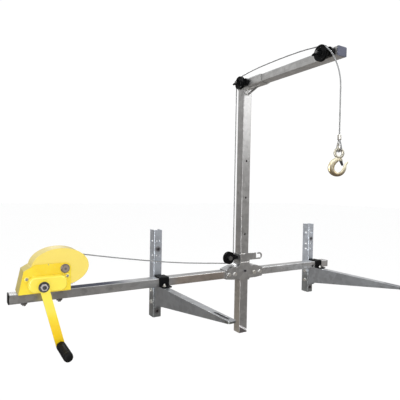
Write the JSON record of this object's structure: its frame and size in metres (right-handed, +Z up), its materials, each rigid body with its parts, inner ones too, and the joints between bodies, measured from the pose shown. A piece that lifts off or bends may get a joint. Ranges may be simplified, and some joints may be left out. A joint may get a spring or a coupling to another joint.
{
  "type": "portable winch crane",
  "caption": "Portable hoist: hand winch and beam on wall brackets, a sliding post with a jib, and a wire rope over pulleys to a latched hook.",
  "frame": {"origin": "centre of the four wall anchor holes, on the wall plane, level with the beam's axis", "axes": "+X along the beam away from the winch, +Y into the wall, +Z up"},
  "size_m": [1.382, 0.5912, 1.0567],
  "materials": {
    "galvanised": "galvanised, satin",
    "zinc": "bright zinc plate",
    "black_steel": "black powder coat",
    "black_nylon": "moulded, satin",
    "yellow": "glossy enamel",
    "rope": "stranded wire",
    "gold_zinc": "yellow passivated zinc",
    "grey_plastic": "moulded, satin",
    "grip_rubber": "moulded",
    "dark_steel": "oiled steel",
    "friction": "pressed lining"
  },
  "bodies": {
    "support": {"left_wall_leg": "galvanised", "right_wall_leg": "galvanised", "left_bracket_arm": "galvanised", "right_bracket_arm": "galvanised", "arm_fasteners": "zinc", "left_beam_clamp": "black_steel", "right_beam_clamp": "black_steel", "clamp_fasteners": "zinc", "beam_left_tube": "galvanised", "beam_right_tube": "galvanised", "beam_end_caps": "black_nylon", "connector_front_plate": "galvanised", "connector_rear_plate": "galvanised", "connector_walls": "galvanised", "connector_fasteners": "zinc", "post_lock_screw": "dark_steel", "pulley_band": "galvanised", "lower_pulley_axle": "zinc", "lower_pulley_guard": "black_steel", "winch_frame": "yellow", "drum_shroud": "yellow", "brake_cover": "yellow", "cover_rivets": "zinc", "winch_fasteners": "zinc", "drum_axle": "zinc", "shaft_bushes": "dark_steel", "pawl_pin": "dark_steel", "rope_winch_run": "rope"},
    "mast": {"post_tube": "galvanised", "jib_sleeve": "galvanised", "jib_tube": "galvanised", "jib_end_cap": "grey_plastic", "jib_pulley_axles": "zinc", "pulley_spacers": "black_nylon", "pulley_wing_nuts": "black_steel", "rope_jib_run": "rope", "rope_post_run": "rope"},
    "lower_wheel": {"lower_pulley": "black_nylon"},
    "top_wheel": {"top_pulley": "black_nylon"},
    "end_wheel": {"end_pulley": "black_nylon"},
    "drum": {"rope_drum": "zinc", "drum_gear": "zinc", "rope_core": "rope", "rope_winding": "rope"},
    "crank": {"crank_shaft": "dark_steel", "ratchet_wheel": "dark_steel", "friction_discs": "friction", "crank_arm": "yellow", "crank_nut": "zinc", "crank_washer": "dark_steel", "grip_bolt": "zinc"},
    "grip": {"hand_grip": "grip_rubber"},
    "pawl": {"pawl": "dark_steel"},
    "rope_end": {"rope_hanging_run": "rope", "rope_ferrule": "zinc", "rope_eye": "rope", "rope_thimble": "zinc"},
    "hook": {"hook": "gold_zinc", "latch_pin": "zinc"},
    "latch": {"latch": "dark_steel"}
  },
  "joints": [
    {"name": "mast_slide", "type": "slide", "parent": "support", "child": "mast", "axis": [0, 0, 1], "range_m": [-0.3, 0.15], "deforming": ["rope_post_run"]},
    {"name": "drum_spin", "type": "hinge", "parent": "support", "child": "drum", "pos_m": [-0.75, -0.059, 0.085], "axis": [0, -1, 0], "range_deg": [-1260.5, 149]},
    {"name": "crank_turn", "type": "hinge", "parent": "support", "child": "crank", "pos_m": [-0.81735, -0.059, 0.04], "axis": [0, -1, 0], "range_deg": [-376.7, 3179.7]},
    {"name": "hook_hoist", "type": "slide", "parent": "mast", "child": "rope_end", "axis": [0, 0, 1], "range_m": [-1.003, 0.1203], "deforming": ["rope_hanging_run"]},
    {"name": "lower_pulley_spin", "type": "hinge", "parent": "support", "child": "lower_wheel", "pos_m": [-0.0905, -0.0545, 0.063], "axis": [0, -1, 0], "range_deg": [-302.2, 2550]},
    {"name": "top_pulley_spin", "type": "hinge", "parent": "mast", "child": "top_wheel", "pos_m": [-0.068, -0.077, 0.773], "axis": [-1, 0, 0], "range_deg": [-2550, 302.2]},
    {"name": "end_pulley_spin", "type": "hinge", "parent": "mast", "child": "end_wheel", "pos_m": [-0.068, -0.496, 0.773], "axis": [-1, 0, 0], "range_deg": [-2550, 302.2]},
    {"name": "grip_spin", "type": "hinge", "parent": "crank", "child": "grip", "pos_m": [-0.76766, -0.15, -0.14546], "axis": [0, -1, 0], "continuous": true},
    {"name": "pawl_lift", "type": "hinge", "parent": "support", "child": "pawl", "pos_m": [-0.78335, -0.104, 0.053], "axis": [0, 1, 0], "range_deg": [0, 25], "stiffness_Nm_per_rad": 0.05, "springref_deg": -17.19},
    {"name": "hook_swing", "type": "hinge", "parent": "rope_end", "child": "hook", "pos_m": [-0.068, -0.574, 0.4603], "axis": [0.3584, 0.9336, 0], "range_deg": [-35, 35]},
    {"name": "latch_open", "type": "hinge", "parent": "hook", "child": "latch", "pos_m": [-0.06333, -0.57579, 0.43525], "axis": [0.3584, 0.9336, 0], "range_deg": [0, 30], "stiffness_Nm_per_rad": 0.02, "springref_deg": -22.92}
  ],
  "couplings": [
    {"joint": "crank_turn", "follows": "drum_spin", "ratio": -2.5217},
    {"joint": "hook_hoist", "follows": "drum_spin", "m_per_rad": 0.0455},
    {"joint": "lower_pulley_spin", "follows": "drum_spin", "ratio": -2.0222},
    {"joint": "top_pulley_spin", "follows": "drum_spin", "ratio": 2.0222},
    {"joint": "end_pulley_spin", "follows": "drum_spin", "ratio": 2.0222}
  ]
}
